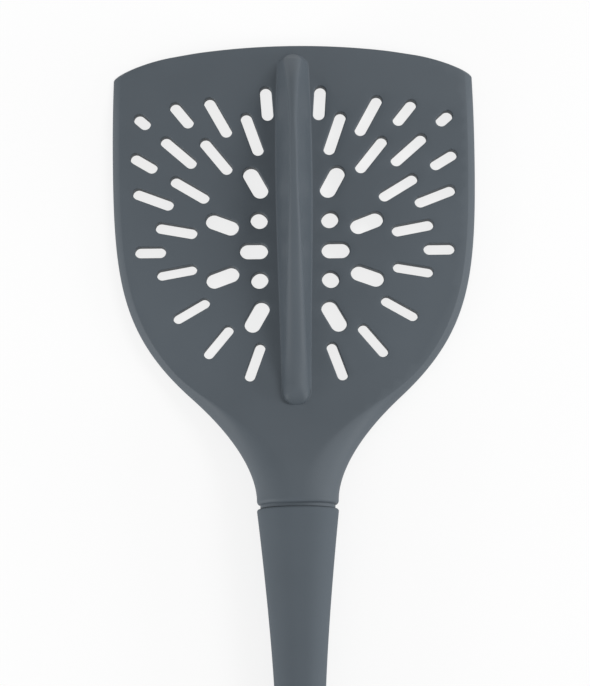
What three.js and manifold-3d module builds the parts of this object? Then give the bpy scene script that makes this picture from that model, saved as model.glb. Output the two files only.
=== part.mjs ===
// Ground meat chopper: a slotted silicone paddle with a chopping fin, on a silicone-covered handle.
// Millimetres. The tool lies on its flat back: X runs across the head, +Y points to the chopping edge
// and +Z comes out of the fin side. Stations along Y are measured from the groove between head and handle.
import * as THREE from 'three';
import { mergeVertices } from 'three/addons/utils/BufferGeometryUtils.js';
import Module from 'manifold-3d';

const { lerp, clamp, smoothstep, degToRad } = THREE.MathUtils;

// Paddle outline
const headWidth = 98;
const headLength = 126.6;
const widestHeight = 97;
const topWidth = 97.2;
const crownRadius = 200;
const cornerRun = 14;
const cornerFall = 6.1;
const cornerSidePull = 1.6;
const cornerCrownPull = 7;
const hipWidth = 56.1;
const hipHeight = 29.9;
const hipAngle = degToRad(43);
const flankTopPull = 35;
const flankHipPull = 26;
const neckHipPull = 17.6;
const neckCollarPull = 6.2;

// Paddle thickness
const plateThickness = 4;
const shoulderWidth = 2.6;
const bevelLength = 12.5;
const edgeThickness = 1.5;
const noseLength = 0.25;
const noseThickness = 0.6;
const bowStart = 70;
const neckStart = 40;

// Chopping fin
const finFoot = 27.3;
const finPeak = 92;
const finTop = 124;
const finFootHeight = 3.6;
const finHeight = 18;
const finTipHeight = 4.5;
const finFootWidth = 6.6;
const finBaseWidth = 9.5;
const finTipWidth = 7.8;
const finCrestWidth = 1.8;
const finFootRamp = 4.5;
const finFootRadius = 4;
const finTipRadius = 3.2;
const finTipFall = 4.5;
const finFillet = 0.5;
const finFootEdge = 1.6;
const finPeakEdge = 0.8;
const finTipEdge = 3;
const finFootLean = 0.55;

// Burst of drain slots
const burstHeight = 69.7;
const upperStretch = 1.045;
const rayAngle = degToRad(10);
const lowestRay = -7;
const highestRay = 8;
const raysPerThickSlot = 4;
const thinSlotWidth = 3.15;
const lowerSlotWidth = 2.85;
const thickSlotWidth = 4.4;
const hubStart = 9.4;
const hubEnd = 12.6;
const innerRingStart = 18.3;
const innerRingEnd = 23.1;
const thinRingStart = 28.2;
const thinRingPitch = 8.05;
const thinRingCount = 4;
const thinSlotLength = 8.1;
const upperSlotGrowth = 0.8;
const slotSideMargin = 6.45;
const slotTopMargin = 13.05;
const slotTopRadius = 120;
const slotFinMargin = 0.6;
const shortestSlot = 0.5;

// Joint groove
const collarWidth = 21.8;
const collarDepth = 16;
const grooveWidth = 0.3;
const lipLength = 1.25;
const lipDrop = 1.2;

// Handle
const handleLength = 190;
const waistDistance = 56;
const waistWidth = 13.2;
const waistDepth = 12.8;
const taperPower = 1.4;
const swellFromButt = 42;
const swellWidth = 24;
const swellDepth = 16;
const buttRoundness = 2.5;
const buttFlat = 0.084;
const hangHoleWidth = 6.4;
const hangHoleLength = 14;
const hangHoleFromButt = 8;

// Walls and fits
const fitGap = 0.25;
const faceSkin = 0.9;
const neckSkin = 1.8;
const rimSkin = 2.2;
const slotLining = 0.8;
const finSkin = 1.1;
const ribFoot = 52;
const sleeveWall = 1.8;
const holeLining = 1.4;
const handleWall = 1.8;
const tangLength = 50;
const pinDiameter = 3;
const pinDistance = 18;

// Facets
const paddleFacets = { shoulder: 4, flat: 6 };
const insideFacets = { shoulder: 1, flat: 2 };
const gripFacets = { shoulder: 6, flat: 1 };
const boreFacets = { shoulder: 4, flat: 1 };
const neckSteps = 8;
const flankSteps = 9;
const upperSideSteps = 3;
const cornerSteps = 6;
const slotQuarterSteps = 3;
const liningQuarterSteps = 2;
const holeQuarterSteps = 4;
const pinSides = 16;

const axisHeight = collarDepth / 2;
const grooveHalf = grooveWidth / 2;
const lipEnd = grooveHalf + lipLength;
const cutMargin = 2;

const wasm = await Module();
wasm.setup();

// Turns a closed geometry into a solid that can be joined and cut.
function solid(geometry) {
  geometry.deleteAttribute('normal');
  geometry.deleteAttribute('uv');
  const merged = mergeVertices(geometry);
  const mesh = new wasm.Mesh({
    numProp: 3,
    vertProperties: new Float32Array(merged.attributes.position.array),
    triVerts: new Uint32Array(merged.index.array),
  });
  return new wasm.Manifold(mesh);
}

function piece(name, body, material) {
  const { vertProperties, triVerts } = body.getMesh();
  const geometry = new THREE.BufferGeometry();
  geometry.setAttribute('position', new THREE.BufferAttribute(vertProperties, 3));
  geometry.setIndex(new THREE.BufferAttribute(triVerts, 1));
  geometry.computeVertexNormals();
  const mesh = new THREE.Mesh(geometry, material);
  mesh.name = name;
  return mesh;
}

const point = (x, y) => new THREE.Vector2(x, y);

// Closes a ring from one side of it, which runs from tip to tip, and the mirror image of that side.
function closeRing(side, mirror) {
  return [...side, ...side.slice(1, -1).reverse().map(mirror)];
}

// Skins a stack of mirrored rings that run along +Y, and caps both ends with strips between the two sides.
function loft(rings) {
  const count = rings[0].length;
  const last = (rings.length - 1) * count;
  const index = [];
  for (let start = 0; start < last; start += count) {
    for (let i = 0; i < count; i++) {
      const a = start + i;
      const b = start + (i + 1) % count;
      index.push(a, a + count, b, b, a + count, b + count);
    }
  }
  for (let i = 0; i < count / 2; i++) {
    const [a, b, c, d] = [i, i + 1, count - i - 1, (count - i) % count];
    if (b !== c) index.push(a, b, c, last + a, last + c, last + b);
    if (a !== d) index.push(a, c, d, last + a, last + d, last + c);
  }
  const geometry = new THREE.BufferGeometry().setFromPoints(rings.flat());
  geometry.setIndex(index);
  return solid(geometry);
}

// A section across the tool: flat faces joined by elliptical shoulders. bow(x) leads its points along Y.
function sectionRing({ y, half, depth, shoulder, middle, bow = () => 0 }, facets) {
  const front = [];
  const flat = half - shoulder;
  const shoulderPoint = (side, i) => {
    const turn = Math.PI / 2 * i / facets.shoulder;
    return point(side * (flat + shoulder * Math.cos(turn)), depth / 2 * Math.sin(turn));
  };
  for (let i = 0; i <= facets.shoulder; i++) front.push(shoulderPoint(1, i));
  for (let i = 1; i < facets.flat; i++) front.push(point(flat * (1 - 2 * i / facets.flat), depth / 2));
  for (let i = facets.shoulder; i >= 0; i--) front.push(shoulderPoint(-1, i));
  const ring = closeRing(front, (p) => point(p.x, -p.y));
  return ring.map((p) => new THREE.Vector3(p.x, y + bow(p.x), middle + p.y));
}

// A prism with round ends between two points of the plan, through everything from bottom to top.
function slotPrism({ from, to, width }, widen, bottom, top, quarterSteps) {
  const radius = width / 2 + widen;
  const turn = Math.atan2(to.y - from.y, to.x - from.x);
  const shape = new THREE.Shape();
  shape.absarc(to.x, to.y, radius, turn - Math.PI / 2, turn + Math.PI / 2);
  shape.absarc(from.x, from.y, radius, turn + Math.PI / 2, turn + 1.5 * Math.PI);
  const options = { depth: top - bottom, bevelEnabled: false, curveSegments: quarterSteps };
  return solid(new THREE.ExtrudeGeometry(shape, options).translate(0, 0, bottom));
}

// Right-hand side of the paddle, from the collar up to the chopping edge
const crownCentre = headLength - noseLength - crownRadius;
const crown = (x) => crownCentre + Math.sqrt(crownRadius ** 2 - x ** 2);
const collar = point(collarWidth / 2, lipEnd);
const hip = point(hipWidth / 2, hipHeight);
const alongHip = (reach) => point(hip.x + reach * Math.cos(hipAngle), hip.y + reach * Math.sin(hipAngle));
const widest = point(headWidth / 2, widestHeight);
const crownEnd = point(topWidth / 2 - cornerRun, crown(topWidth / 2 - cornerRun));
const crownSlope = crownEnd.x / (crownEnd.y - crownCentre);
const alongCrown = point(crownEnd.x + cornerCrownPull, crownEnd.y - crownSlope * cornerCrownPull);
const topSide = point(topWidth / 2, crownEnd.y - cornerFall);
const aboveSide = point(topSide.x, topSide.y + cornerSidePull);
const neckPull = point(collar.x, collar.y + neckCollarPull);
const flankPull = point(widest.x, widest.y - flankTopPull);
const upperPull = point(widest.x, (widest.y + topSide.y) / 2);
const neckCurve = new THREE.CubicBezierCurve(collar, neckPull, alongHip(-neckHipPull), hip);
const flankCurve = new THREE.CubicBezierCurve(hip, alongHip(flankHipPull), flankPull, widest);
const upperSideCurve = new THREE.QuadraticBezierCurve(widest, upperPull, topSide);
const cornerCurve = new THREE.CubicBezierCurve(topSide, aboveSide, alongCrown, crownEnd);
const sidePoints = [
  ...neckCurve.getPoints(neckSteps),
  ...flankCurve.getPoints(flankSteps).slice(1),
  ...upperSideCurve.getPoints(upperSideSteps).slice(1),
  ...cornerCurve.getPoints(cornerSteps).slice(1),
];

// Value of a curve's points at a place along the tool, where each point holds (value, place).
function valueAt(points, place) {
  const above = clamp(points.findIndex((p) => p.y >= place), 1, points.length - 1);
  const [a, b] = [points[above - 1], points[above]];
  return lerp(a.x, b.x, clamp((place - a.y) / (b.y - a.y), 0, 1));
}

// Share of the neck's round form, and the thickness of paddle and skin on the centre line
const neckShare = (y) => 1 - smoothstep(y, lipEnd, neckStart);
const faceHeight = (y) => lerp(plateThickness, collarDepth, neckShare(y));
const skinThickness = (y) => lerp(faceSkin, neckSkin, neckShare(y));

// One section of the paddle with its sides at height y.
// It is drawn in by rim at the sides and by face at the two faces.
function paddleStation(y, half, rim, face) {
  const toEdge = crown(half) - y;
  const depth = Math.min(faceHeight(y), lerp(edgeThickness, plateThickness, toEdge / bevelLength));
  const round = lerp(shoulderWidth, half - shoulderWidth / 2, neckShare(y));
  const bowShare = smoothstep(y, bowStart, crown(half) - bevelLength);
  return {
    y,
    half: half - rim,
    depth: depth - 2 * face,
    shoulder: Math.max(round - rim, shoulderWidth / 4),
    middle: depth / 2,
    bow: (x) => bowShare * (crown(x) - crown(half)),
  };
}

// Rounded lip beside the groove: sections that shrink from the full station to lipDrop inside it.
const lipShares = [0, 0.3, 0.65];

function lipStations(station, side) {
  return lipShares.map((share) => {
    const drop = lipDrop * (1 - Math.sqrt(1 - (1 - share) ** 2));
    return {
      ...station,
      y: side * lerp(grooveHalf, lipEnd, share),
      half: station.half - drop,
      depth: station.depth - 2 * drop,
      shoulder: station.shoulder - drop,
    };
  });
}

function paddleBody() {
  const stations = sidePoints.map((p) => paddleStation(p.y, p.x, 0, 0));
  const lip = lipStations(stations[0], 1);
  const edge = stations.at(-1);
  const nose = { ...edge, y: edge.y + noseLength, depth: noseThickness };
  return loft([...lip, ...stations, nose].map((station) => sectionRing(station, paddleFacets)));
}

// The paddle's form inside its skin, from bottom up to the start of the bevel.
const coreTop = crown(topWidth / 2) - bevelLength;

function paddleInside(gap, bottom) {
  const top = coreTop - gap;
  const inside = (y, half) => paddleStation(y, half, rimSkin + gap, skinThickness(y) + gap);
  const stations = sidePoints.filter((p) => p.y < top - cutMargin).map((p) => inside(p.y, p.x));
  const lowest = { ...stations[0], y: bottom };
  const highest = inside(top, valueAt(sidePoints, top));
  return loft([lowest, ...stations, highest].map((station) => sectionRing(station, insideFacets)));
}

// A size of the fin at a place along the tool, from its values at the foot, the peak and the tip.
function alongFin(y, foot, peak, tip) {
  const pastPeak = Math.max(y - finPeak, 0) / (finTop - finPeak);
  return lerp(lerp(foot, peak, smoothstep(y, finFoot, finPeak)), tip, pastPeak ** 2);
}

// The fin's foot swells up out of the face, and its tip is a dome.
const roundEnd = (past, radius) => Math.sqrt(1 - (Math.max(past, 0) / radius) ** 2);
const tipRound = (y) => roundEnd(y - finTop + finTipRadius, finTipRadius);
const tipFall = (y) => roundEnd(y - finTop + finTipFall, finTipFall);
const footRamp = (y) => smoothstep(y, finFoot, finFoot + finFootRamp);
const footRound = (y) => roundEnd(finFoot + finFootRadius - y, finFootRadius);
const finRise = (y) => alongFin(y, finFootHeight, finHeight, finTipHeight) * footRamp(y) * tipFall(y);
const finHalf = (y) => alongFin(y, finFootWidth, finBaseWidth, finTipWidth) / 2 * footRound(y) * tipRound(y);
const finSlope = (finBaseWidth - finCrestWidth) / 2 / finHeight;

// Places of the fin's sections, crowded towards its two ends
const crestSteps = 9;
const crestShare = (i) => (i / crestSteps) ** 2;
const finPlaces = [];
for (let i = 1; i <= crestSteps; i++) finPlaces.push(lerp(finFoot, finPeak, crestShare(i)));
for (let i = crestSteps - 1; i > 0; i--) finPlaces.push(lerp(finTop, finPeak, crestShare(i)));

// One section of the fin: filleted root, drafted sides and a flat crest with round edges.
// inset draws it inside the skin.
const filletSteps = 2;
const edgeSteps = 2;
const roundShare = 0.8;

function finRing(y, inset) {
  const face = faceHeight(y);
  const rise = finRise(y) - inset / finSlope;
  const base = finHalf(y) - inset;
  const crest = base - rise * finSlope * alongFin(y, finFootLean, 1, 1);
  const fillet = Math.min(finFillet, rise / 2);
  const round = Math.min(alongFin(y, finFootEdge, finPeakEdge, finTipEdge), roundShare * crest, rise / 2);
  const root = face - plateThickness / 2;
  const side = [point(0, root), point(base + fillet, root)];
  for (let i = 0; i <= filletSteps; i++) {
    const turn = Math.PI / 2 * i / filletSteps;
    side.push(point(base + fillet * (1 - Math.sin(turn)), face + fillet * (1 - Math.cos(turn))));
  }
  for (let i = 0; i <= edgeSteps; i++) {
    const turn = Math.PI / 2 * i / edgeSteps;
    side.push(point(crest - round * (1 - Math.cos(turn)), face + rise - round * (1 - Math.sin(turn))));
  }
  side.push(point(0, face + rise));
  return closeRing(side, (p) => point(-p.x, p.y)).map((p) => new THREE.Vector3(p.x, y, p.y));
}

const finBody = () => loft(finPlaces.map((y) => finRing(y, 0)));

// Stiff rib inside the fin, from ribFoot to where the core plate ends.
function ribBody(gap) {
  const foot = ribFoot + gap;
  const top = coreTop - gap;
  const between = finPlaces.filter((y) => y > foot + cutMargin && y < top - cutMargin);
  return loft([foot, ...between, top].map((y) => finRing(y, finSkin + gap)));
}

// Place on a ray of the burst; the upper half is drawn out a little towards the chopping edge.
function onRay(radius, angle) {
  const stretch = angle > 0 ? upperStretch : 1;
  return point(radius * Math.cos(angle), burstHeight + stretch * radius * Math.sin(angle));
}

// Outer end of a slot on its ray, kept clear of the paddle's side and below an arc under the crown.
const slotTopCentre = headLength - slotTopMargin - slotTopRadius;
const slotLimit = (x) => slotTopCentre + Math.sqrt(slotTopRadius ** 2 - x ** 2);

function slotEnd(angle, start, end) {
  const tooFar = ({ x, y }) => x > valueAt(sidePoints, y) - slotSideMargin || y > slotLimit(x);
  const step = 0.05;
  let reach = end;
  while (reach > start && tooFar(onRay(reach, angle))) reach -= step;
  return reach;
}

// Slots of the right half, as rings round the burst's centre: thick ones inside, thin ones outside.
function burstSlots() {
  const slots = [];
  const add = (angle, start, end, width) => {
    const besideFin = finBaseWidth / 2 + slotFinMargin + width / 2;
    const clear = ({ x, y }) => point(Math.max(x, besideFin), y);
    slots.push({ from: clear(onRay(start, angle)), to: clear(onRay(end, angle)), width });
  };
  for (let ray = lowestRay; ray <= highestRay; ray++) {
    const angle = ray * rayAngle;
    const thinLength = thinSlotLength + upperSlotGrowth * Math.max(Math.sin(angle), 0);
    const thinWidth = ray < 0 ? lowerSlotWidth : thinSlotWidth;
    const hubReach = hubStart / Math.cos(angle);
    const onHub = ray % raysPerThickSlot === 0 && hubReach < hubEnd;
    const onInnerRing = (ray + raysPerThickSlot / 2) % raysPerThickSlot === 0;
    if (onHub) add(angle, hubReach, hubEnd, thickSlotWidth);
    if (onInnerRing) add(angle, innerRingStart, innerRingEnd, thickSlotWidth);
    for (let ring = 0; ring < thinRingCount; ring++) {
      const start = thinRingStart + ring * thinRingPitch;
      const end = slotEnd(angle, start, start + thinLength);
      const onRing = (ray + ring) % 2 !== 0 && (ring === 0 || ray >= 0);
      if (onRing && end - start > shortestSlot) add(angle, start, end, thinWidth);
    }
  }
  return slots;
}

// All slots of both halves as one set of prisms, widened on every side.
const rightSlots = burstSlots();
const cutTop = plateThickness + finHeight / 2;

function slotPrisms(widen, quarterSteps) {
  const right = rightSlots.map((slot) => slotPrism(slot, widen, -cutMargin, cutTop, quarterSteps));
  const left = right.map((prism) => prism.mirror([1, 0, 0]));
  return wasm.Manifold.union([...right, ...left]);
}

// Half-width or half-depth of the handle at a distance below the groove, drawn in by inset.
const swellDistance = handleLength - swellFromButt;
const plan = { collar: collarWidth, waist: waistWidth, swell: swellWidth };
const profile = { collar: collarDepth, waist: waistDepth, swell: swellDepth };

function handleHalf(distance, size, inset) {
  if (distance < waistDistance) {
    const left = 1 - clamp((distance - lipEnd) / (waistDistance - lipEnd), 0, 1);
    return lerp(size.waist, size.collar, left ** taperPower) / 2 - inset;
  }
  if (distance < swellDistance) {
    return lerp(size.waist, size.swell, smoothstep(distance, waistDistance, swellDistance)) / 2 - inset;
  }
  const share = (distance - swellDistance) / (swellFromButt - inset);
  return (size.swell / 2 - inset) * (1 - share ** buttRoundness) ** (1 / buttRoundness);
}

const handleFlat = 0.6;

function handleStation(distance, inset) {
  const half = handleHalf(distance, plan, inset);
  return {
    y: -distance,
    half,
    depth: 2 * handleHalf(distance, profile, inset),
    shoulder: Math.max(half - handleFlat, half / 2),
    middle: axisHeight,
  };
}

// Distances of the handle's stations from lip to butt; the last ones crowd towards the round end.
const taperSteps = 6;
const swellSteps = 7;
const buttSteps = 8;
const buttTip = 1 - buttFlat / swellFromButt;

function handleDistances(inset) {
  const distances = [];
  for (let i = 0; i < taperSteps; i++) distances.push(lerp(lipEnd, waistDistance, i / taperSteps));
  for (let i = 0; i < swellSteps; i++) distances.push(lerp(waistDistance, swellDistance, i / swellSteps));
  for (let i = 0; i <= buttSteps; i++) {
    const share = buttTip * Math.sin(Math.PI / 2 * i / buttSteps);
    distances.push(swellDistance + share * (swellFromButt - inset));
  }
  return distances;
}

const handleLoft = (stations, facets) => loft(stations.reverse().map((s) => sectionRing(s, facets)));

function gripOutside() {
  const stations = handleDistances(0).map((distance) => handleStation(distance, 0));
  return handleLoft([...lipStations(stations[0], -1), ...stations], gripFacets);
}

// The handle's form drawn in by inset, from a start above its first station down to the butt.
function handleInside(inset, start) {
  const stations = handleDistances(inset).map((distance) => handleStation(distance, inset));
  return handleLoft([{ ...stations[0], y: start }, ...stations], boreFacets);
}

// The tapering form of the tang and of its socket, drawn in by inset, from start down to a depth.
function tangForm(inset, start, depth) {
  const distances = handleDistances(0).filter((distance) => distance < depth - cutMargin);
  const stations = [...distances, depth].map((distance) => handleStation(distance, inset));
  return handleLoft([{ ...stations[0], y: start }, ...stations], boreFacets);
}

const hangHole = {
  from: point(0, -handleLength + hangHoleFromButt + hangHoleWidth / 2),
  to: point(0, -handleLength + hangHoleFromButt + hangHoleLength - hangHoleWidth / 2),
  width: hangHoleWidth,
};
const holeTop = collarDepth + cutMargin;
const holePrism = (widen) => slotPrism(hangHole, widen, -cutMargin, holeTop, holeQuarterSteps);

const coreInset = sleeveWall + fitGap;
const socketInset = coreInset + handleWall;
const tangInset = socketInset + fitGap;

function pinBody(radius, length) {
  const geometry = new THREE.CylinderGeometry(radius, radius, length, pinSides);
  return solid(geometry.rotateZ(Math.PI / 2).translate(0, -pinDistance, axisHeight));
}

const pinHole = () => pinBody(pinDiameter / 2 + fitGap, collarWidth);
const pinLength = 2 * (handleHalf(pinDistance, plan, coreInset) - fitGap);

function headSkin() {
  const linings = slotPrisms(slotLining, liningQuarterSteps);
  const cavity = paddleInside(0, -cutMargin).add(ribBody(0)).subtract(linings);
  return paddleBody().add(finBody()).subtract(cavity).subtract(slotPrisms(0, slotQuarterSteps));
}

function headCore() {
  const windows = slotPrisms(slotLining + fitGap, liningQuarterSteps);
  const blank = paddleInside(fitGap, grooveHalf).add(ribBody(fitGap)).subtract(windows);
  return blank.add(tangForm(tangInset, cutMargin, tangLength)).subtract(pinHole());
}

function handleCore() {
  const socket = tangForm(socketInset, cutMargin, tangLength + fitGap);
  return handleInside(coreInset, -grooveHalf)
    .subtract(socket)
    .subtract(holePrism(holeLining + fitGap))
    .subtract(pinHole());
}

function gripSleeve() {
  const cavity = handleInside(sleeveWall, cutMargin).subtract(holePrism(holeLining));
  return gripOutside().subtract(cavity).subtract(holePrism(0));
}

const silicone = () => new THREE.MeshStandardMaterial({ color: 0x565d63, roughness: 0.65, metalness: 0 });
const nylon = () => new THREE.MeshStandardMaterial({ color: 0x3d4347, roughness: 0.5, metalness: 0 });
const steel = () => new THREE.MeshStandardMaterial({ color: 0xb9bcbe, roughness: 0.3, metalness: 1 });

// The tool's origin is under the middle of its length, on the surface that it lies on.
const tool = new THREE.Group();
tool.position.y = (handleLength - headLength) / 2;
tool.add(
  piece('head_core', headCore(), nylon()),
  piece('head_skin', headSkin(), silicone()),
  piece('handle_core', handleCore(), nylon()),
  piece('tang_pin', pinBody(pinDiameter / 2, pinLength), steel()),
  piece('grip_sleeve', gripSleeve(), silicone()),
);

const model = new THREE.Group();
model.add(tool);

export default model;
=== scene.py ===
"""Looks of a ground meat chopper: a slotted silicone paddle with a chopping fin, on a soft tapered handle.

The shapes are worked out in millimetres from the groove between head and handle, with +Y towards the
chopping edge and Z = 0 on the flat back, and are put into the meshes in metres.
"""
import math

import bmesh
import bpy
import numpy as np
from mathutils import Matrix, Vector
from mathutils.geometry import delaunay_2d_cdt


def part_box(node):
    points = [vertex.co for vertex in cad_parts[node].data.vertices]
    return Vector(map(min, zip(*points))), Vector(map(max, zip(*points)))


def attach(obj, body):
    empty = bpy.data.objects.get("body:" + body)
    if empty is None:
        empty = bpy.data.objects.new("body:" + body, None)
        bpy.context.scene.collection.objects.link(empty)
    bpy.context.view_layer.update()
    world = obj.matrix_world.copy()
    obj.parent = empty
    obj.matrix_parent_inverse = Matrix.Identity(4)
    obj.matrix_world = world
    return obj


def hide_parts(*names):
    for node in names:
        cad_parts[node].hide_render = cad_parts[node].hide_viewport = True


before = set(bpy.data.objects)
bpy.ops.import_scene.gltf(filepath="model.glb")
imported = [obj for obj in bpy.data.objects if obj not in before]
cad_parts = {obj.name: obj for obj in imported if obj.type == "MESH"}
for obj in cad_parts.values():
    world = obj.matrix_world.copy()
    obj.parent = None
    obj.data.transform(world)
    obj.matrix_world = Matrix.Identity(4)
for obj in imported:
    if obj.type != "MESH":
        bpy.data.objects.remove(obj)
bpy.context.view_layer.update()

# Head core
# The stiff skeleton of the head, injection-moulded in one piece with the tang that runs into the handle.
# It is glass-filled nylon, and the skin moulded over it hides it down to the groove at the collar.
nylon_dark = "#33383c"
nylon_light = "#3e4448"
fibre_size_mm = 0.6
nylon_roughness = 0.5
nylon_ior = 1.53
fibre_bump = 0.2
fibre_depth_mm = 0.05
mm_per_metre = 1000


def linear(hex_colour):
    """An sRGB hex colour as linear red, green, blue and alpha."""
    srgb = np.array([int(hex_colour[i:i + 2], 16) for i in (1, 3, 5)]) / 255
    rgb = np.where(srgb <= 0.04045, srgb / 12.92, ((srgb + 0.055) / 1.055) ** 2.4)
    return (*rgb.tolist(), 1.0)


def add(tree, kind, sockets, **settings):
    """Adds a node with its settings; each named socket gets a value, or a link from another node's output."""
    node = tree.nodes.new(kind)
    for name, value in settings.items():
        setattr(node, name, value)
    for name, value in sockets.items():
        if isinstance(value, bpy.types.NodeSocket):
            tree.links.new(value, node.inputs[name])
        else:
            node.inputs[name].default_value = value
    return node


def empty_material(name):
    """A material with no nodes yet, and its node tree."""
    material = bpy.data.materials.new(name)
    material.use_nodes = True
    material.node_tree.nodes.clear()
    return material, material.node_tree


def per_mm(size_mm):
    """Scale of a noise texture on coordinates in metres whose features are this many millimetres across."""
    return mm_per_metre / size_mm


def moulded_nylon():
    """Glass-filled nylon: a dull dark grey, streaked a little by short fibres that lie near the surface."""
    material, tree = empty_material("glass_filled_nylon_moulded")
    place = add(tree, "ShaderNodeTexCoord", {})
    fibres = add(tree, "ShaderNodeTexNoise", {
        "Vector": place.outputs["Object"], "Scale": per_mm(fibre_size_mm), "Detail": 3.0})
    colour = add(tree, "ShaderNodeValToRGB", {"Fac": fibres.outputs["Fac"]})
    colour.color_ramp.elements[0].color = linear(nylon_dark)
    colour.color_ramp.elements[1].color = linear(nylon_light)
    bump = add(tree, "ShaderNodeBump", {
        "Height": fibres.outputs["Fac"], "Strength": fibre_bump, "Distance": fibre_depth_mm / mm_per_metre})
    surface = add(tree, "ShaderNodeBsdfPrincipled", {
        "Base Color": colour.outputs["Color"], "Normal": bump.outputs["Normal"],
        "Roughness": nylon_roughness, "IOR": nylon_ior})
    add(tree, "ShaderNodeOutputMaterial", {"Surface": surface.outputs["BSDF"]})
    return material


nylon = moulded_nylon()
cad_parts["head_core"].material_slots[0].material = nylon

# Head skin
# The soft outside of the head, silicone moulded over the core in one shot: the flaring neck, the slotted
# plate with its thin bevelled edge, and the chopping fin. It grips the core through the slots' linings.
head_width = 98.0
head_length = 126.6
widest_height = 97.0
top_width = 97.2
crown_radius = 200.0
corner_run = 14.0
corner_fall = 6.1
corner_side_pull = 1.6
corner_crown_pull = 7.0
hip_width = 56.1
hip_height = 29.9
hip_angle = math.radians(43)
flank_top_pull = 35.0
flank_hip_pull = 26.0
neck_hip_pull = 17.6
neck_collar_pull = 6.2
collar_width = 21.8
collar_depth = 16.0
plate_thickness = 4.0
shoulder_width = 1.95
shoulder_growth = 1.6
rim_level = 0.25
rim_roundness = 1.3
oval_level = 0.5
oval_roundness = 2
bevel_length = 12.5
bevel_softness = 2.0
edge_thickness = 1.5
nose_length = 0.25
nose_fade = 10.0
bow_start = 70.0
neck_start = 40.0
groove_half = 0.04
groove_fall = 0.68
lip_end = 1.4
lip_drop = 0.9
groove_band = 0.9
pocket_depth = 26.0
rim_skin = 2.2
face_skin = 0.9
neck_skin = 1.8

head_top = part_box("head_skin")[1].y * mm_per_metre
groove_place = head_top - head_length


def lerp(a, b, share):
    """From a to b by a share."""
    return a + (b - a) * share


def smoothstep(value, low, high):
    """Smooth rise from 0 at low to 1 at high: 3t^2 - 2t^3."""
    share = np.clip((value - low) / (high - low), 0, 1)
    return share * share * (3 - 2 * share)


def bezier(controls, steps):
    """Points on a Bezier curve: its control points weighted by the Bernstein polynomials."""
    degree = len(controls) - 1
    power = np.arange(degree + 1)
    choices = np.array([math.comb(degree, k) for k in power])
    share = np.linspace(0, 1, steps + 1)[:, None]
    return (choices * share**power * (1 - share)**(degree - power)) @ np.array(controls)


crown_centre = head_length - nose_length - crown_radius


def crown(x):
    """Place of the chopping edge at x: an arc of a circle centred far down the handle."""
    return crown_centre + np.sqrt(crown_radius**2 - x**2)


def side_outline():
    """Right side of the head from collar to edge: Beziers for neck, flank, upper side and corner.

    The corner leaves the side upright and runs out along the crown's tangent.
    """
    collar = np.array([collar_width / 2, lip_end])
    hip = np.array([hip_width / 2, hip_height])
    along_hip = np.array([math.cos(hip_angle), math.sin(hip_angle)])
    widest = np.array([head_width / 2, widest_height])
    crown_end = np.array([top_width / 2 - corner_run, crown(top_width / 2 - corner_run)])
    crown_slope = crown_end[0] / (crown_end[1] - crown_centre)
    along_crown = crown_end + corner_crown_pull * np.array([1, -crown_slope])
    top_side = np.array([top_width / 2, crown_end[1] - corner_fall])
    neck = bezier([collar, collar + [0, neck_collar_pull], hip - neck_hip_pull * along_hip, hip], steps=64)
    flank = bezier([hip, hip + flank_hip_pull * along_hip, widest - [0, flank_top_pull], widest], steps=72)
    upper = bezier([widest, [widest[0], (widest[1] + top_side[1]) / 2], top_side], steps=12)
    corner = bezier([top_side, top_side + [0, corner_side_pull], along_crown, crown_end], steps=40)
    return np.vstack([neck, flank[1:], upper[1:], corner[1:]])


side_x, side_y = side_outline().T


def neck_share(y):
    """Share of the neck's round form at a station: 1 at the collar, 0 on the plate."""
    return 1 - smoothstep(y, lip_end, neck_start)


def head_section(y):
    """Half-width, thickness and shoulder width of the head's cross-section at a station.

    The plate's thickness swells to the collar's along the neck, and falls along the bevel by a ramp
    whose start is rounded off. The shoulder grows by a power along the neck, until the section is
    all but an ellipse at the collar.
    """
    half = np.interp(y, side_y, side_x)
    neck = neck_share(y)
    past_bevel = bevel_length - (crown(half) - y)
    ramp = (past_bevel + np.sqrt(past_bevel**2 + bevel_softness**2)) / 2
    drop = (plate_thickness - edge_thickness) * ramp / bevel_length
    depth = lerp(plate_thickness, collar_depth, neck) - drop
    shoulder = lerp(shoulder_width, half - shoulder_width / 2, neck**shoulder_growth)
    return half, depth, shoulder


def bow(station, x):
    """How far a station's line runs ahead of its ends at x, so that the upper ones follow the crown."""
    half = np.interp(station, side_y, side_x)
    share = smoothstep(station, bow_start, crown(half) - bevel_length)
    return share * (crown(x) - crown(half))


def face_height(x, y, halvings=40):
    """Height of the front face at places of the plan: the thickness of the section that passes there.

    The section's station is found by halving the stretch of stations that it can lie in.
    """
    low = np.full(x.shape, side_y[0])
    high = np.full(x.shape, side_y[-1])
    for _ in range(halvings):
        middle = (low + high) / 2
        short = middle + bow(middle, x) < y
        low = np.where(short, middle, low)
        high = np.where(short, high, middle)
    return head_section(low)[1]


def grid(points, closed=False):
    """Triangles of a grid of points, two per cell; closed joins its last column to its first."""
    rows, columns = points.shape[:2]
    index = np.arange(rows * columns).reshape(rows, columns)
    if closed:
        index = np.hstack([index, index[:, :1]])
    a, b, c, d = index[:-1, :-1], index[:-1, 1:], index[1:, 1:], index[1:, :-1]
    faces = np.stack([np.stack([a, b, c], -1), np.stack([a, c, d], -1)])
    return points.reshape(-1, 3), faces.reshape(-1, 3)


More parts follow.
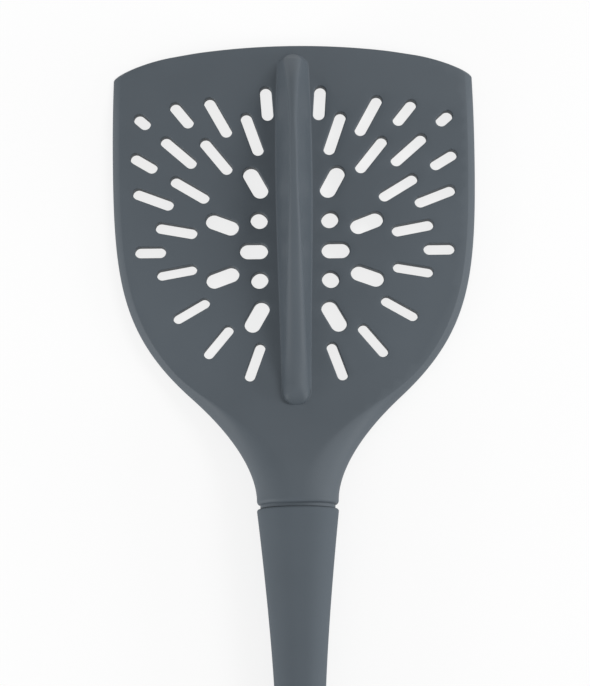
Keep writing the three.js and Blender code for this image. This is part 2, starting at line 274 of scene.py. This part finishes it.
def weld(surfaces, decimals=4):
    """One mesh from surfaces that share their borders: like points become one, and empty triangles go."""
    starts = np.cumsum([0] + [len(points) for points, _ in surfaces])
    points = np.concatenate([points for points, _ in surfaces])
    faces = np.concatenate([faces + start for (_, faces), start in zip(surfaces, starts)])
    rounded = np.round(points, decimals)
    _, first, joined = np.unique(rounded, axis=0, return_index=True, return_inverse=True)
    faces = joined.reshape(-1)[faces]
    a, b, c = faces.T
    return points[first], faces[(a != b) & (b != c) & (c != a)]


def mirrored(surface):
    """A right half welded to its mirror image across the plane x = 0."""
    points, faces = surface
    return weld([surface, (points * [-1, 1, 1], faces[:, ::-1])])


def build_piece(name, surface, material, sharp_angle=math.radians(50)):
    """A new object from a closed surface in millimetres from the groove, smooth but for its sharp corners."""
    points, faces = surface
    mesh = bpy.data.meshes.new(name)
    mesh.from_pydata((points + [0, groove_place, 0]) / mm_per_metre, [], faces)
    shell = bmesh.new()
    shell.from_mesh(mesh)
    bmesh.ops.recalc_face_normals(shell, faces=shell.faces)
    shell.to_mesh(mesh)
    shell.free()
    mesh.shade_smooth()
    mesh.set_sharp_from_angle(angle=sharp_angle)
    mesh.materials.append(material)
    piece = bpy.data.objects.new(name, mesh)
    bpy.context.scene.collection.objects.link(piece)
    return piece


def half_ring(y, half, depth, shoulder, middle, level=oval_level, roundness=oval_roundness, steps=26):
    """Right half of cross-sections, from the middle of the front round the shoulder to that of the back.

    The front and back are level. The shoulder between them is half a superellipse of the given power,
    widest at a share of the depth: half an ellipse at 2, and nearer to two facets towards 1.
    """
    turn = np.linspace(math.pi / 2, -math.pi / 2, steps + 1)
    sizes = (y, half, depth, shoulder, middle, level, roundness)
    y, half, depth, shoulder, middle, level, roundness = (np.atleast_1d(size)[:, None] for size in sizes)
    out = np.abs(np.cos(turn))**(2 / roundness)
    up = np.sign(turn) * np.abs(np.sin(turn))**(2 / roundness)
    x = half - shoulder + shoulder * out
    z = middle + depth * (level - 0.5 + np.where(up > 0, 1 - level, level) * up)
    centre = np.zeros_like(half)
    x = np.hstack([centre, x, centre])
    z = np.hstack([middle + depth / 2, z, middle - depth / 2])
    return np.stack([x, np.broadcast_to(y, x.shape), z], -1)


def lip_rings(side, half, depth, shoulder, middle, band, steps=8):
    """Half sections of a rounded lip: a quarter ellipse in from the full section, then a level band.

    The side is 1 for the lip above the groove, and -1 for the one below it.
    """
    share = np.linspace(1, 0, steps + 1)
    drop = np.append(lip_drop * (1 - np.sqrt(1 - (1 - share)**2)), lip_drop)
    start = groove_half - side * groove_fall
    y = side * np.append(lerp(start + band, lip_end, share), start)
    return half_ring(y, half - drop, depth - 2 * drop, shoulder - drop, middle)


def bored(lip, bore):
    """A lip and the bore behind it, whose last section is pressed flat onto its own middle to close it."""
    end = bore[-1:].copy()
    end[..., 2] = (bore[-1, 0, 2] + bore[-1, -1, 2]) / 2
    return grid(np.concatenate([lip, bore, end]))


# Head skin: burst of drain slots
# The slots are cut by pins in the mould, as short rounded dashes on rays ten degrees apart: thick ones
# round the hub and the inner ring, thin ones in rings outside. Their rims are rounded on both faces.
burst_height = 69.7
upper_stretch = 1.045
ray_angle = math.radians(10)
rays = range(-7, 9)
rays_per_thick_slot = 4
thin_slot_width = 3.15
lower_slot_width = 2.85
thick_slot_width = 4.4
hub_start = 9.4
hub_end = 12.6
inner_ring_start = 18.3
inner_ring_end = 23.1
thin_ring_start = 28.2
thin_ring_pitch = 8.05
thin_ring_count = 4
thin_slot_length = 8.1
upper_slot_growth = 0.8
slot_side_margin = 6.45
slot_top_margin = 13.05
slot_top_radius = 120.0
slot_fin_margin = 0.6
shortest_slot = 0.5
slot_end_step = 0.05
slot_rim = 0.3
fin_base_width = 9.5


def on_ray(radius, angle):
    """Place on a ray of the burst; the upper half is drawn out a little towards the chopping edge."""
    stretch = upper_stretch if angle > 0 else 1
    return np.array([radius * math.cos(angle), burst_height + stretch * radius * math.sin(angle)])


def slot_end(angle, start, end):
    """Outer end of a thin slot, drawn back along its ray until it is clear of the side and under an arc."""
    reach = np.arange(end, start, -slot_end_step)
    x, y = on_ray(reach, angle)
    arc_sag = slot_top_radius - np.sqrt(slot_top_radius**2 - x**2)
    clear = x <= np.interp(y, side_y, side_x) - slot_side_margin
    clear &= y <= head_length - slot_top_margin - arc_sag
    return reach[clear][0] if clear.any() else start


def burst_slots():
    """Slots of the right half as (start, end, width); an end that would meet the fin is pushed out."""
    slots = []

    def cut(angle, start, end, width):
        beside_fin = np.array([fin_base_width / 2 + slot_fin_margin + width / 2, 0])
        slots.append((np.maximum(on_ray(start, angle), beside_fin),
                      np.maximum(on_ray(end, angle), beside_fin), width))

    for ray in rays:
        angle = ray * ray_angle
        thin_length = thin_slot_length + upper_slot_growth * max(math.sin(angle), 0)
        thin_width = lower_slot_width if ray < 0 else thin_slot_width
        hub_reach = hub_start / math.cos(angle)
        if ray % rays_per_thick_slot == 0 and hub_reach < hub_end:
            cut(angle, hub_reach, hub_end, thick_slot_width)
        if (ray + rays_per_thick_slot / 2) % rays_per_thick_slot == 0:
            cut(angle, inner_ring_start, inner_ring_end, thick_slot_width)
        for ring in range(thin_ring_count):
            start = thin_ring_start + ring * thin_ring_pitch
            end = slot_end(angle, start, start + thin_length)
            on_ring = (ray + ring) % 2 != 0 and (ring == 0 or ray >= 0)
            if on_ring and end - start > shortest_slot:
                cut(angle, start, end, thin_width)
    return slots


def slot_loop(slot, widen, steps=22):
    """Outline of a slot in the plan: half circles about its two ends, joined by straight sides."""
    start, end, width = slot
    turn = math.atan2(*(end - start)[::-1]) + np.linspace(-math.pi / 2, math.pi / 2, steps)
    round_end = np.stack([np.cos(turn), np.sin(turn)], 1) * (width / 2 + widen)
    return np.vstack([end + round_end, start - round_end])


def slot_wall(slot, steps=6):
    """Wall of a slot: a profile with a quarter circle at its front and back rims, carried round the slot."""
    turn = np.linspace(0, math.pi / 2, steps)
    widen = slot_rim * np.concatenate([1 - np.sin(turn), 1 - np.cos(turn)])
    rim = slot_loop(slot, slot_rim)
    front = face_height(*rim.T)
    plan = np.stack([slot_loop(slot, w) for w in widen])
    below = slot_rim * (1 - np.cos(turn))
    above = slot_rim * (1 - np.sin(turn))
    z = np.concatenate([front - below[:, None], np.broadcast_to(above[:, None], (steps, len(rim)))])
    return grid(np.concatenate([plan, z[..., None]], -1), closed=True)


# Head skin: chopping fin
# A tall rib down the middle of the front, moulded with the plate. It swells up from a round nose on the
# neck, is sharpest at its peak, and falls to a dome just short of the chopping edge.
fin_foot = 27.3
fin_peak = 92.0
fin_top = 124.0
fin_foot_height = 3.6
fin_height = 18.0
fin_tip_height = 4.5
fin_foot_width = 7.8
fin_foot_crest = 7.7
fin_tip_width = 7.8
fin_crest_width = 1.8
fin_foot_ramp = 5.5
fin_foot_radius = 4.0
fin_tip_radius = 3.2
fin_tip_fall = 10.0
fin_fillet = 0.5
fin_foot_fillet = 0.2
fin_foot_edge = 3.4
fin_peak_edge = 0.8
fin_tip_edge = 4.5
least_crest_share = 0.25
rounded_crest_share = 0.95
fin_slope = (fin_base_width - fin_crest_width) / 2 / fin_height


def along_fin(y, foot, peak, tip):
    """A size of the fin: a smooth step from foot to peak, then a parabola to the tip."""
    past_peak = np.maximum(y - fin_peak, 0) / (fin_top - fin_peak)
    return lerp(lerp(foot, peak, smoothstep(y, fin_foot, fin_peak)), tip, past_peak**2)


def round_end(past, radius):
    """Shrinks a size along a quarter circle, from 1 where the end begins to 0 a radius past that."""
    return np.sqrt(np.maximum(1 - (np.maximum(past, 0) / radius)**2, 0))


def fin_places(steps=64):
    """Places of the fin's sections along the tool, crowded by a square law towards foot and tip."""
    share = np.linspace(0, 1, steps + 1)**2
    return np.concatenate([lerp(fin_foot, fin_peak, share), lerp(fin_top, fin_peak, share)[-2::-1]])


fin_y = fin_places()
tip_round = round_end(fin_y - fin_top + fin_tip_radius, fin_tip_radius)
tip_fall = round_end(fin_y - fin_top + fin_tip_fall, fin_tip_fall)
foot_round = round_end(fin_foot + fin_foot_radius - fin_y, fin_foot_radius)
# The square of a quarter circle is a parabola, so the nose of the foot rises at a slant.
foot_ramp = round_end(fin_foot + fin_foot_ramp - fin_y, fin_foot_ramp)**2
full_rise = along_fin(fin_y, fin_foot_height, fin_height, fin_tip_height)
full_half = along_fin(fin_y, fin_foot_width, fin_base_width, fin_tip_width) / 2
fin_rise = full_rise * foot_ramp * tip_fall
fin_half = full_half * foot_round * tip_round
fin_edge = along_fin(fin_y, fin_foot_edge, fin_peak_edge, fin_tip_edge)
fin_round = np.minimum(along_fin(fin_y, fin_foot_fillet, fin_fillet, fin_fillet), fin_rise / 2)
crest_half = np.interp(fin_y, [fin_foot, fin_peak], [fin_foot_crest / 2, fin_crest_width / 2])
side_slope = np.where(fin_y < fin_peak, (full_half - crest_half) / full_rise, fin_slope)
fin_draft = np.arctan(side_slope)
fin_spread = fin_half + fin_round / np.tan((math.pi / 2 + fin_draft) / 2)


def fin_surface(fillet_steps=8, side_steps=8, edge_steps=10):
    """Right half of the fin: a profile of root fillet, drafted side and flat crest, carried along the tool.

    The fillet is tangent to the face and to the side, and the crest's edge is a quarter circle.
    Where the plate thins along the bevel, the fin rises by what the plate loses.
    """
    root = face_height(fin_spread, fin_y)[:, None]
    base, rise, fillet, spread = (v[:, None] for v in (fin_half, fin_rise, fin_round, fin_spread))
    rise = rise + (plate_thickness - root).clip(0) * (rise / plate_thickness).clip(0, 1)
    crest = np.maximum(base - rise * side_slope[:, None], base * least_crest_share)
    edge = np.minimum(np.minimum(fin_edge[:, None], rounded_crest_share * crest), rise - fillet)
    turn = np.linspace(0, 1, fillet_steps) * (math.pi / 2 - fin_draft[:, None])
    fillet_x = spread - fillet * np.sin(turn)
    fillet_z = fillet * (1 - np.cos(turn))
    share = np.linspace(0, 1, side_steps)[1:-1]
    side_of_fin_x = lerp(fillet_x[:, -1:], crest, share)
    side_of_fin_z = lerp(fillet_z[:, -1:], rise - edge, share)
    over = np.linspace(0, math.pi / 2, edge_steps)
    crest_x = crest - edge * (1 - np.cos(over))
    crest_z = rise - edge * (1 - np.sin(over))
    x = np.hstack([fillet_x, side_of_fin_x, crest_x, 0 * base])
    z = root + np.hstack([fillet_z, side_of_fin_z, crest_z, rise])
    return grid(np.stack([x, np.broadcast_to(fin_y[:, None], x.shape), z], -1))


# Head skin: plate, neck and edge
# The front and back sheets of the plate lie between the slots' rims, the fin's root and the shoulders of
# the sides. The shoulders are a steep facet round the plate and swell into the round neck, and the top
# runs out in the thin edge.
sheet_spacing = 2.2
sheet_clearance = 0.9
sheet_lip_clearance = 1.0


def sheet(border, holes, inside, inside_only=1, nearness=1e-7):
    """Triangles inside a border and outside its holes, by a constrained Delaunay triangulation."""
    loops = [border, *holes]
    points = np.vstack([*loops, inside])
    ends = np.cumsum([0] + [len(loop) for loop in loops])
    outlines = [list(range(a, b)) for a, b in zip(ends[:-1], ends[1:])]
    plan = [Vector(p) for p in points]
    made = delaunay_2d_cdt(plan, [], outlines, inside_only, nearness, True)
    _, _, triangles, made_from, _, lies_in = made
    source = np.array([ids[0] for ids in made_from])
    solid = np.array([len(ids) == 1 for ids in lies_in])
    return points, source[np.array(triangles)[solid]]


def sheet_points(slots, beside_fin):
    """Points of a staggered grid that are clear of the sides, the edge, the slots and the fin's root."""
    columns = np.arange(0, head_width / 2, sheet_spacing)
    rows = np.arange(lip_end, head_length, sheet_spacing)
    x, y = np.meshgrid(columns, rows)
    x = x + sheet_spacing / 2 * (np.arange(len(x))[:, None] % 2) + sheet_clearance
    x, y = x.ravel(), y.ravel()
    half, _, shoulder = head_section(y)
    clear = (x < half - shoulder - sheet_clearance) & (y < crown(x) - sheet_clearance)
    clear &= y > lip_end + sheet_lip_clearance
    if beside_fin:
        root = np.interp(y, fin_y, fin_spread, left=0, right=0)
        clear &= x > root + sheet_clearance
    place = np.stack([x, y], 1)
    for start, end, width in slots:
        along = end - start
        share = np.clip((place - start) @ along / (along @ along), 0, 1)[:, None]
        gap = np.linalg.norm(place - start - share * along, axis=1)
        clear &= gap > width / 2 + slot_rim + sheet_clearance
    return place[clear]


def edge_nose(edge, corner, depth, half, steps=6):
    """Round nose along the chopping edge: a quarter ellipse in from either face, fading out at the corner.

    The faces' borders and the corner's own section make one ring, which closes on its middle as it runs out.
    """
    middle = depth / 2
    ring = np.concatenate([
        np.column_stack([edge[::-1], np.full(len(edge), depth)]),
        corner,
        np.column_stack([edge, np.zeros(len(edge))]),
    ])
    over = np.linspace(0, math.pi / 2, steps)[:, None]
    fade = smoothstep(half - ring[:, 0], 0, nose_fade)
    y = ring[:, 1] + nose_length * fade * np.sin(over)
    z = middle + (ring[:, 2] - middle) * np.cos(over)
    z[-1] = middle
    return grid(np.stack([np.broadcast_to(ring[:, 0], y.shape), y, z], -1))


def neck_pocket(half, depth, shoulder, steps=14):
    """Lip of the neck, and the pocket behind it that the core fills: the head's section less the skin."""
    lip = lip_rings(1, half, depth, shoulder, depth / 2, groove_band)
    y = np.linspace(groove_half - groove_fall, pocket_depth, steps)
    outer_half, outer_depth, outer_shoulder = head_section(np.maximum(y, lip_end))
    skin = lerp(face_skin, neck_skin, neck_share(y))
    bore = half_ring(y, outer_half - rim_skin, outer_depth - 2 * skin,
                     outer_shoulder - rim_skin, outer_depth / 2)
    return bored(lip, bore)


def head_half(edge_steps=48, foot_steps=20, centre_steps=60):
    """Right half of the head: shoulders lofted along its side, the front and back sheets between them, and
    the nose, the neck's pocket, the fin and the slots' walls, which share their borders.
    """
    half, depth, shoulder = head_section(side_y)
    neck = neck_share(side_y)
    level = lerp(rim_level, oval_level, neck)
    roundness = lerp(rim_roundness, oval_roundness, neck)
    sides = half_ring(side_y, half, depth, shoulder, depth / 2, level, roundness)
    sides[..., 1] += bow(side_y[:, None], sides[..., 0])
    shoulders = sides[:, 1:-1]

    edge_x = np.linspace(sides[-1, 1, 0], 0, edge_steps)
    edge = np.stack([edge_x, side_y[-1] + bow(side_y[-1], edge_x)], 1)
    side_line = sides[:, 1, :2]
    below_y = lerp(fin_foot, lip_end, np.linspace(0, 1, foot_steps)**2)
    below_fin = np.stack([np.zeros(foot_steps), below_y], 1)
    fin_line = np.stack([fin_spread, fin_y], 1)[::-1]
    centre = np.stack([np.zeros(centre_steps), np.linspace(edge[-1, 1], lip_end, centre_steps)], 1)
    slots = burst_slots()
    rims = [slot_loop(slot, slot_rim) for slot in slots]
    front_border = np.vstack([side_line, edge[1:], fin_line, below_fin[1:]])
    back_border = np.vstack([side_line, edge[1:], centre[1:]])
    front_plan, front_faces = sheet(front_border, rims, sheet_points(slots, True))
    back_plan, back_faces = sheet(back_border, rims, sheet_points(slots, False))
    front = np.column_stack([front_plan, face_height(*front_plan.T)])
    back = np.column_stack([back_plan, np.zeros(len(back_plan))])

    nose = edge_nose(edge, shoulders[-1, 1:-1], depth[-1], half[-1])
    pocket = neck_pocket(half[0], depth[0], shoulder[0])
    walls = [slot_wall(slot) for slot in slots]
    return weld([(front, front_faces), (back, back_faces), grid(shoulders), nose, pocket,
                 fin_surface(), *walls])


# Head skin: finish
# Platinum-cured silicone from a spark-eroded mould: satin, slate grey, with a very fine even grain.
# The grain is about 0.05 mm on the real skin and is drawn at 0.4 mm, the finest that can show.
silicone_dark = "#4b535a"
silicone_light = "#515960"
mottle_size_mm = 14
grain_size_mm = 0.4
grain_bump = 0.15
grain_depth_mm = 0.03
silicone_ior = 1.41
head_roughness = (0.56, 0.64)


def moulded_silicone(name, roughness):
    """Moulded silicone: a cloudy, barely varying grey, slightly uneven gloss and a fine grain."""
    material, tree = empty_material(name)
    place = add(tree, "ShaderNodeTexCoord", {})
    mottle = add(tree, "ShaderNodeTexNoise", {
        "Vector": place.outputs["Object"], "Scale": per_mm(mottle_size_mm), "Detail": 2.0})
    colour = add(tree, "ShaderNodeValToRGB", {"Fac": mottle.outputs["Fac"]})
    colour.color_ramp.elements[0].color = linear(silicone_dark)
    colour.color_ramp.elements[1].color = linear(silicone_light)
    gloss = add(tree, "ShaderNodeMapRange", {
        "Value": mottle.outputs["Fac"], "To Min": roughness[0], "To Max": roughness[1]})
    grain = add(tree, "ShaderNodeTexNoise", {
        "Vector": place.outputs["Object"], "Scale": per_mm(grain_size_mm), "Detail": 2.0})
    bump = add(tree, "ShaderNodeBump", {
        "Height": grain.outputs["Fac"], "Strength": grain_bump, "Distance": grain_depth_mm / mm_per_metre})
    surface = add(tree, "ShaderNodeBsdfPrincipled", {
        "Base Color": colour.outputs["Color"], "Roughness": gloss.outputs["Result"],
        "Normal": bump.outputs["Normal"], "IOR": silicone_ior})
    add(tree, "ShaderNodeOutputMaterial", {"Surface": surface.outputs["BSDF"]})
    return material


head_silicone = moulded_silicone("silicone_satin_head", head_roughness)
head = build_piece("head_silicone_skin", mirrored(head_half()), head_silicone)
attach(head, "root")
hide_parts("head_skin")

# Handle core
# The stiff tube inside the grip, moulded in the same glass-filled nylon as the head's core.
# The head's tang slides into its socket, and the pin goes through both.
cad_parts["handle_core"].material_slots[0].material = nylon

# Grip sleeve
# Silicone moulded over the handle's core, in the head's colour but from a coarser, duller mould. It tapers
# from the collar to a slim waist, swells to a flat oval for the palm, and has a long hole for a hook near
# its rounded butt.
handle_length = 190.0
waist_distance = 56.0
waist_width = 13.2
waist_depth = 12.8
taper_power = 1.4
swell_from_butt = 42.0
swell_width = 24.0
swell_depth = 16.0
butt_roundness = 2.5
butt_flat = 0.084
handle_flat = 0.6
hole_width = 6.4
hole_length = 14.0
hole_from_butt = 8.0
hole_rim = 1.3
hole_frame_columns = 9
hole_frame_above = 3 * hole_rim
hole_frame_below = 2.5 * hole_rim
sleeve_wall = 1.8
bore_end = 160.0
grip_roughness = (0.78, 0.86)
swell_distance = handle_length - swell_from_butt
butt_reach = swell_from_butt - butt_flat
axis_height = collar_depth / 2


def handle_half(distance, collar, waist, swell):
    """Half-width or half-depth at distances below the groove.

    A power of the way left tapers from collar to waist, a smooth step swells from the waist to the palm,
    and a superellipse rounds off the butt.
    """
    left = 1 - np.clip((distance - lip_end) / (waist_distance - lip_end), 0, 1)
    taper = lerp(waist, collar, left**taper_power)
    swelling = lerp(waist, swell, smoothstep(distance, waist_distance, swell_distance))
    share = np.clip((distance - swell_distance) / butt_reach, 0, 1)
    butt = swell * (1 - share**butt_roundness)**(1 / butt_roundness)
    above_butt = np.where(distance < waist_distance, taper, swelling)
    return np.where(distance < swell_distance, above_butt, butt) / 2


def handle_section(distance):
    """Half-width, depth and shoulder width of the handle's oval section at distances below the groove."""
    half = handle_half(distance, collar_width, waist_width, swell_width)
    depth = 2 * handle_half(distance, collar_depth, waist_depth, swell_depth)
    return half, depth, np.maximum(half - handle_flat, half / 2)


def grip_face(x, y, side, tiny=1e-6):
    """Height of the grip's front (side 1) or back (side -1) at places of the plan, from the oval section."""
    half, depth, shoulder = handle_section(-y)
    out = np.clip((np.abs(x) - (half - shoulder)) / np.maximum(shoulder, tiny), 0, 1)
    return axis_height + side * depth / 2 * np.sqrt(1 - out**2)


def hole_arc(widen, count):
    """Right half of the hang hole's outline in the plan, from its butt end round to its head end.

    Two quarter circles joined by a straight side, in even steps along the way.
    """
    radius = hole_width / 2
    low = -handle_length + hole_from_butt + radius
    high = low + hole_length - hole_width
    quarter = math.pi / 2 * (radius + widen)
    travel = np.linspace(0, 2 * quarter + high - low, count)
    lower = np.clip(travel / quarter, 0, 1) * math.pi / 2
    upper = np.clip((travel - quarter - (high - low)) / quarter, 0, 1) * math.pi / 2
    turn = lower + upper - math.pi / 2
    rise = np.clip(travel - quarter, 0, high - low)
    return np.stack([(radius + widen) * np.cos(turn), low + rise + (radius + widen) * np.sin(turn)], 1)


def hole_surfaces(frame_line, patch_steps=9, rim_steps=8):
    """The grip round the right half of the hang hole.

    Two patches run from its rims out to a frame of the loft's own points, and the wall between the rims
    is a profile with a quarter circle at either end.
    """
    count = len(frame_line)
    rim = hole_arc(hole_rim, count)
    rim[[0, -1], 0] = 0
    share = np.linspace(0, 1, patch_steps)[:, None, None]
    plan = lerp(rim, frame_line, share)
    patches = []
    for side in (1, -1):
        z = grip_face(plan[..., 0], plan[..., 1], side)
        patches.append(grid(np.concatenate([plan, z[..., None]], -1)))
    turn = np.linspace(0, math.pi / 2, rim_steps)
    widen = hole_rim * np.concatenate([1 - np.sin(turn), (1 - np.sin(turn))[::-1]])
    sink = hole_rim * (1 - np.cos(turn))[:, None]
    front = grip_face(*rim.T, 1) - sink
    back = (grip_face(*rim.T, -1) + sink)[::-1]
    wall = np.stack([hole_arc(w, count) for w in widen])
    wall[:, [0, -1], 0] = 0
    return [*patches, grid(np.concatenate([wall, np.concatenate([front, back])[..., None]], -1))]


def sleeve_bore(half, depth, shoulder, steps=30):
    """Lip of the grip, and the bore below it that the core fills: the grip's section less its wall."""
    lip = lip_rings(-1, half, depth, shoulder, axis_height, 0)
    distance = np.linspace(groove_half + groove_fall, bore_end, steps)
    outer_half, outer_depth, outer_shoulder = handle_section(np.maximum(distance, lip_end))
    bore = half_ring(-distance, outer_half - sleeve_wall, outer_depth - 2 * sleeve_wall,
                     outer_shoulder - sleeve_wall, axis_height)
    return bored(lip, bore)


def grip_half(taper_steps=40, swell_steps=50, butt_steps=60):
    """Right half of the grip: a loft of its oval sections, open round the hang hole, with the hole's own
    surfaces set in and the bore closed behind the lip.
    """
    taper = np.linspace(lip_end, waist_distance, taper_steps, endpoint=False)
    swell = np.linspace(waist_distance, swell_distance, swell_steps, endpoint=False)
    butt = swell_distance + butt_reach * np.sin(np.linspace(0, math.pi / 2, butt_steps))
    distance = np.concatenate([taper, swell, butt])
    half, depth, shoulder = handle_section(distance)
    body = half_ring(-distance, half, depth, shoulder, axis_height)
    cells = np.ones(np.array(body.shape[:2]) - 1, bool)

    hole_bottom = handle_length - hole_from_butt
    first = np.searchsorted(distance, hole_bottom - hole_length - hole_frame_above)
    last = np.searchsorted(distance, hole_bottom + hole_frame_below)
    across = hole_frame_columns
    cells[first:last, :across] = False
    cells[first:last, -across:] = False
    frame_line = np.concatenate([
        body[last, :across + 1, :2],
        body[last - 1:first:-1, across, :2],
        body[first, across::-1, :2],
    ])
    points, faces = grid(body)
    kept = np.tile(cells.ravel(), 2)

    bore = sleeve_bore(half[0], depth[0], shoulder[0])
    return weld([(points, faces[kept]), bore, *hole_surfaces(frame_line)])


grip_silicone = moulded_silicone("silicone_matte_grip", grip_roughness)
grip = build_piece("grip_silicone_sleeve", mirrored(grip_half()), grip_silicone)
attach(grip, "root")
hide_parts("grip_sleeve")

# Tang pin
# A ground stainless dowel pressed across the handle's core and the tang, under the grip.
# Grinding leaves fine rings round it, about 0.05 mm apart, drawn at 1.26 mm along its axis.
steel_colour = "#b9bcbe"
steel_roughness = (0.22, 0.34)
ring_pitch_mm = 1.26
wave_radians = 20


def ground_steel():
    """Ground stainless steel: bright, with rings round the pin that blur its reflections.

    The wave texture turns by 20 radians in a unit, so a ring takes 2 pi of them.
    """
    material, tree = empty_material("stainless_steel_ground")
    place = add(tree, "ShaderNodeTexCoord", {})
    scale = per_mm(ring_pitch_mm) * 2 * math.pi / wave_radians
    rings = add(tree, "ShaderNodeTexWave", {
        "Vector": place.outputs["Object"], "Scale": scale, "Distortion": 2.0}, bands_direction="X")
    gloss = add(tree, "ShaderNodeMapRange", {
        "Value": rings.outputs["Fac"], "To Min": steel_roughness[0], "To Max": steel_roughness[1]})
    surface = add(tree, "ShaderNodeBsdfPrincipled", {
        "Base Color": linear(steel_colour), "Metallic": 1.0, "Roughness": gloss.outputs["Result"]})
    add(tree, "ShaderNodeOutputMaterial", {"Surface": surface.outputs["BSDF"]})
    return material


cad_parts["tang_pin"].material_slots[0].material = ground_steel()

# Floor
# A plain white sweep that the tool lies on. The camera sees it almost white by itself, and the rest of its
# brightness comes from the lamps, so it keeps a faint shadow round the tool and in the slots.
floor_size = 6.0
floor_drop = 0.0002
floor_glow = 0.8
paper_colour = "#f4f4f4"
white = "#ffffff"


def white_floor():
    """White matte sweep: part of what the camera and reflections see is a plain white glow."""
    material, tree = empty_material("white_paper_sweep")
    paths = add(tree, "ShaderNodeLightPath", {})
    seen = add(tree, "ShaderNodeMath", {0: paths.outputs["Is Camera Ray"], 1: paths.outputs["Is Glossy Ray"]},
               operation="MAXIMUM")
    seen = add(tree, "ShaderNodeMath", {0: seen.outputs[0], 1: paths.outputs["Is Transmission Ray"]},
               operation="MAXIMUM")
    share = add(tree, "ShaderNodeMath", {0: seen.outputs[0], 1: floor_glow}, operation="MULTIPLY")
    paper = add(tree, "ShaderNodeBsdfDiffuse", {"Color": linear(paper_colour)})
    glow = add(tree, "ShaderNodeEmission", {"Color": linear(white), "Strength": 1.0})
    mixed = add(tree, "ShaderNodeMixShader", {
        0: share.outputs[0], 1: paper.outputs["BSDF"], 2: glow.outputs["Emission"]})
    add(tree, "ShaderNodeOutputMaterial", {"Surface": mixed.outputs["Shader"]})
    return material


corners = floor_size / 2 * np.array([[-1, -1, 0], [1, -1, 0], [1, 1, 0], [-1, 1, 0]])
floor_mesh = bpy.data.meshes.new("floor")
floor_mesh.from_pydata(corners - [0, 0, floor_drop], [], [(0, 1, 2, 3)])
floor_mesh.materials.append(white_floor())
floor = bpy.data.objects.new("floor", floor_mesh)
bpy.context.scene.collection.objects.link(floor)

# Light and camera
# Even white surroundings, with a long low softbox on either side and one higher up on the right.
# Each lamp has its place in metres and its power in watts. The camera stands over the head, tilted
# towards the handle, far off with a long lens.
surround_strength = 0.635
softbox_size = (1.1, 0.55)
lamps = {
    "right_softbox": ((1.86, -0.4, 0.48), 18.5),
    "left_softbox": ((-1.68, -0.87, 0.41), 20.5),
    "high_softbox": ((1.16, 1.07, 1.27), 13.5),
}
target = Vector((-0.00025, 0.0768, 0))
camera_tilt = math.radians(8.5)
camera_roll = math.radians(0.7)
camera_distance = 1.2
camera_lens = 233.8

world = bpy.data.worlds.new("white_surround")
bpy.context.scene.world = world
world.use_nodes = True
world.node_tree.nodes.clear()
paths = add(world.node_tree, "ShaderNodeLightPath", {})
strength = add(world.node_tree, "ShaderNodeMapRange", {
    "Value": paths.outputs["Is Camera Ray"], "To Min": surround_strength, "To Max": 1.0})
surround = add(world.node_tree, "ShaderNodeBackground", {
    "Color": linear(white), "Strength": strength.outputs["Result"]})
add(world.node_tree, "ShaderNodeOutputWorld", {"Surface": surround.outputs["Background"]})

for name, (place, power) in lamps.items():
    lamp = bpy.data.lights.new(name, "AREA")
    lamp.energy = power
    lamp.shape = "RECTANGLE"
    lamp.size, lamp.size_y = softbox_size
    holder = bpy.data.objects.new(name, lamp)
    holder.location = place
    holder.rotation_euler = (target - Vector(place)).to_track_quat("-Z", "Y").to_euler()
    bpy.context.scene.collection.objects.link(holder)

away = Vector((0, -math.sin(camera_tilt), math.cos(camera_tilt)))
level_right = Vector((1, 0, 0))
level_up = away.cross(level_right)
right = level_right * math.cos(camera_roll) - level_up * math.sin(camera_roll)
up = level_up * math.cos(camera_roll) + level_right * math.sin(camera_roll)
camera = bpy.data.cameras.new("camera")
camera.lens = camera_lens
camera_holder = bpy.data.objects.new("camera", camera)
turn = Matrix((right, up, away)).transposed().to_4x4()
camera_holder.matrix_world = Matrix.Translation(target + away * camera_distance) @ turn
bpy.context.scene.collection.objects.link(camera_holder)
bpy.context.scene.camera = camera_holder
bpy.context.scene.view_settings.view_transform = "Standard"
